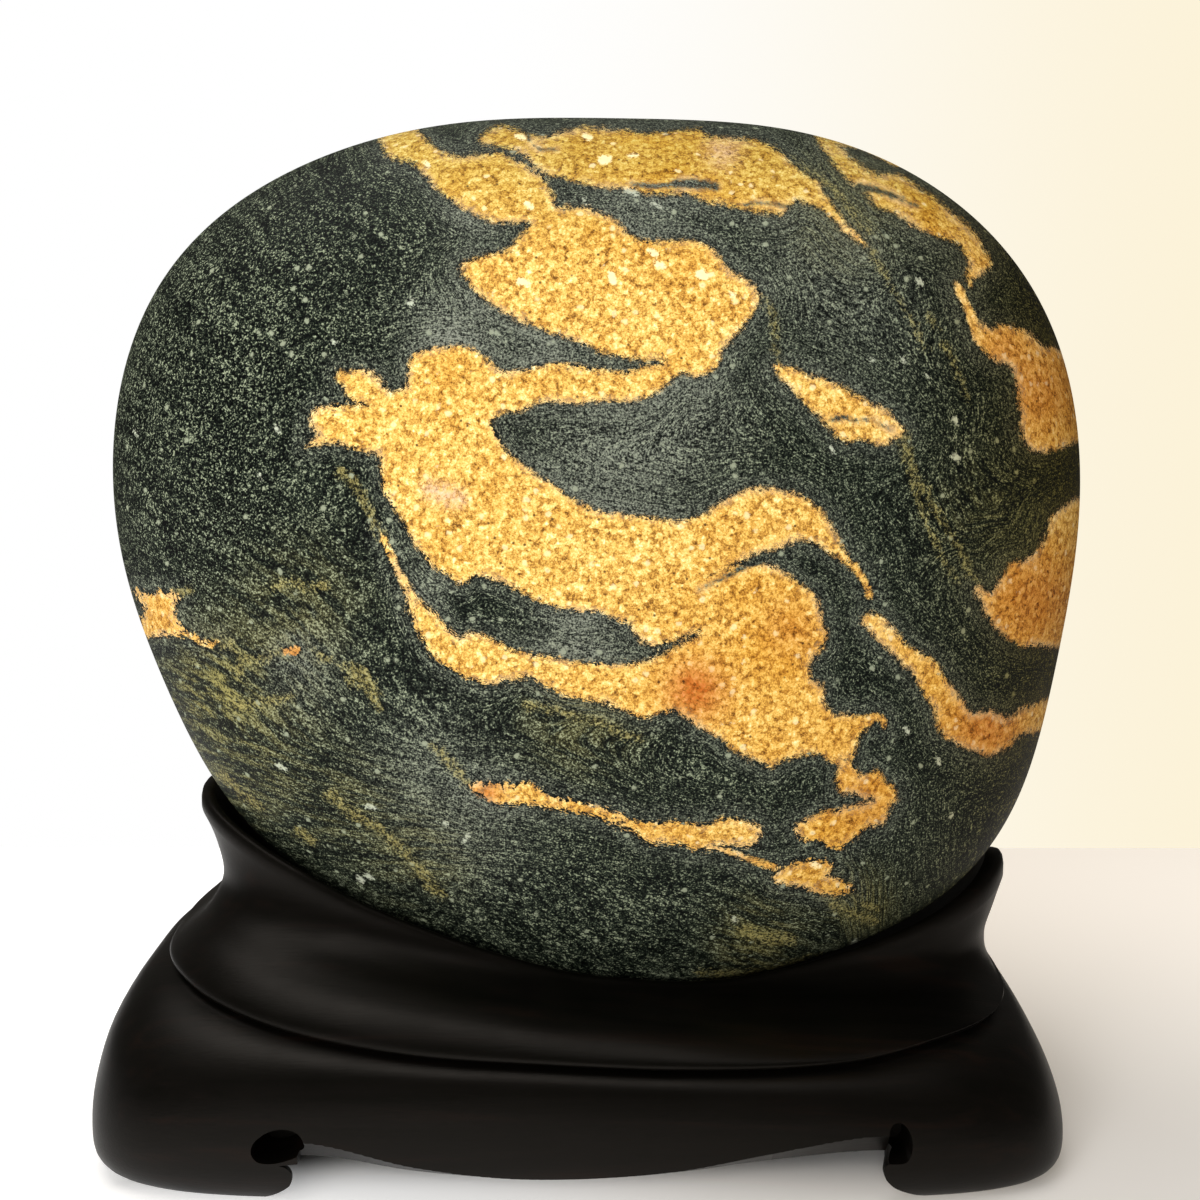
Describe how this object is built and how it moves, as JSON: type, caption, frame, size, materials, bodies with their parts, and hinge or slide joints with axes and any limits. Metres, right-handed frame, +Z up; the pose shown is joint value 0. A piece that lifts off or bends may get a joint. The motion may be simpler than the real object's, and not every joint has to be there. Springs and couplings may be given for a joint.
{
  "type": "viewing stone on stand",
  "caption": "Rounded river stone, dark green-grey with golden ochre bands, standing in a carved dark hardwood stand with scrolled feet.",
  "frame": {"origin": "centre of the whole object's box, at the underside of the feet", "axes": "+Z up, -Y towards the viewer of the stone's shown face, +X to that viewer's right"},
  "size_m": [0.2382, 0.1328, 0.245],
  "materials": {
    "stone": "satin, granular, with golden ochre bands",
    "wood": "dark oiled hardwood, satin"
  },
  "bodies": {
    "root": {"stone": "stone", "stand": "wood"}
  },
  "joints": []
}
